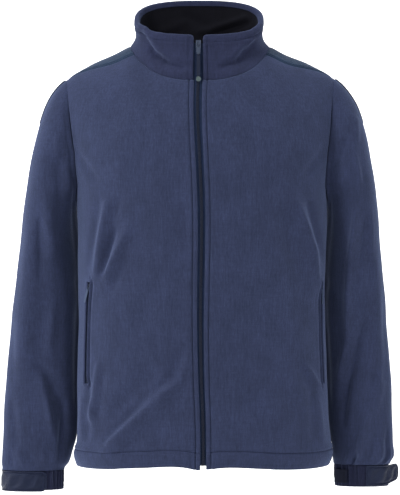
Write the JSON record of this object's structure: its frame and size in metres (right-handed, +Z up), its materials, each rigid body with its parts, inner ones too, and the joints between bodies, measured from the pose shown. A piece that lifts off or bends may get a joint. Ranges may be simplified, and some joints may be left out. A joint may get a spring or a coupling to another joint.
{
  "type": "fleece zip jacket",
  "caption": "Hip-length fleece jacket with a stand collar, a full-length front zip, zipped side pockets and elastic cuffs with tabs, filled out as worn and hollow.",
  "frame": {"origin": "middle of the neck opening, level with the tops of the shoulders, where the wearer carries the jacket", "axes": "+Z up, -Y is the jacket's front, +X is the wearer's left"},
  "size_m": [0.6789, 0.2697, 0.8395],
  "materials": {
    "fleece": "navy polyester fleece, brushed, low pile",
    "fleece_inside": "near-black navy fleece",
    "cuff_fleece": "navy fleece gathered on elastic",
    "woven_panel": "smooth teal-navy twill",
    "cuff_tab": "smooth dark navy weave with a soft shine",
    "loop_tape": "dark loop tape",
    "zip_tape": "navy herringbone tape with moulded coil",
    "zip_metal": "dark lacquered metal",
    "pull_cord": "navy lacquered pull",
    "moulded": "moulded dark navy",
    "puller_tip": "plain light grey-green"
  },
  "bodies": {
    "jacket": {"back": "fleece", "collar_inner": "fleece_inside", "collar_outer": "fleece", "cuff_left": "cuff_fleece", "cuff_patch_left": "loop_tape", "cuff_right": "cuff_fleece", "cuff_tab_left": "cuff_tab", "cuff_tab_right": "cuff_tab", "front_left": "fleece", "front_right": "fleece", "pocket_slider_left": "zip_metal", "pocket_slider_right": "zip_metal", "pocket_zip_left": "zip_tape", "pocket_zip_right": "zip_tape", "shoulder_panel_left": "woven_panel", "shoulder_panel_right": "woven_panel", "sleeve_left": "fleece", "sleeve_panel_left": "woven_panel", "sleeve_panel_right": "woven_panel", "sleeve_right": "fleece", "zip_slider": "zip_metal", "zip_tape_left": "zip_tape", "zip_tape_right": "zip_tape"},
    "main_pull": {"zip_pull_tab": "zip_metal", "zip_puller": "moulded", "zip_puller_tip": "puller_tip"},
    "pocket_pull_right": {"pocket_pull_right": "pull_cord"},
    "pocket_pull_left": {"pocket_pull_left": "pull_cord"}
  },
  "joints": [
    {"name": "main_pull_swing", "type": "hinge", "parent": "jacket", "child": "main_pull", "pos_m": [-0.00283, -0.0934, -0.00546], "axis": [-1, -0.0001, -0.0045], "range_deg": [0, 150]},
    {"name": "pocket_pull_right_swing", "type": "hinge", "parent": "jacket", "child": "pocket_pull_right", "pos_m": [-0.18727, -0.06239, -0.41057], "axis": [-0.5034, 0.7354, 0.4536], "range_deg": [0, 150]},
    {"name": "pocket_pull_left_swing", "type": "hinge", "parent": "jacket", "child": "pocket_pull_left", "pos_m": [0.20609, -0.03905, -0.41056], "axis": [-0.3134, -0.9477, -0.0605], "range_deg": [0, 150]}
  ]
}
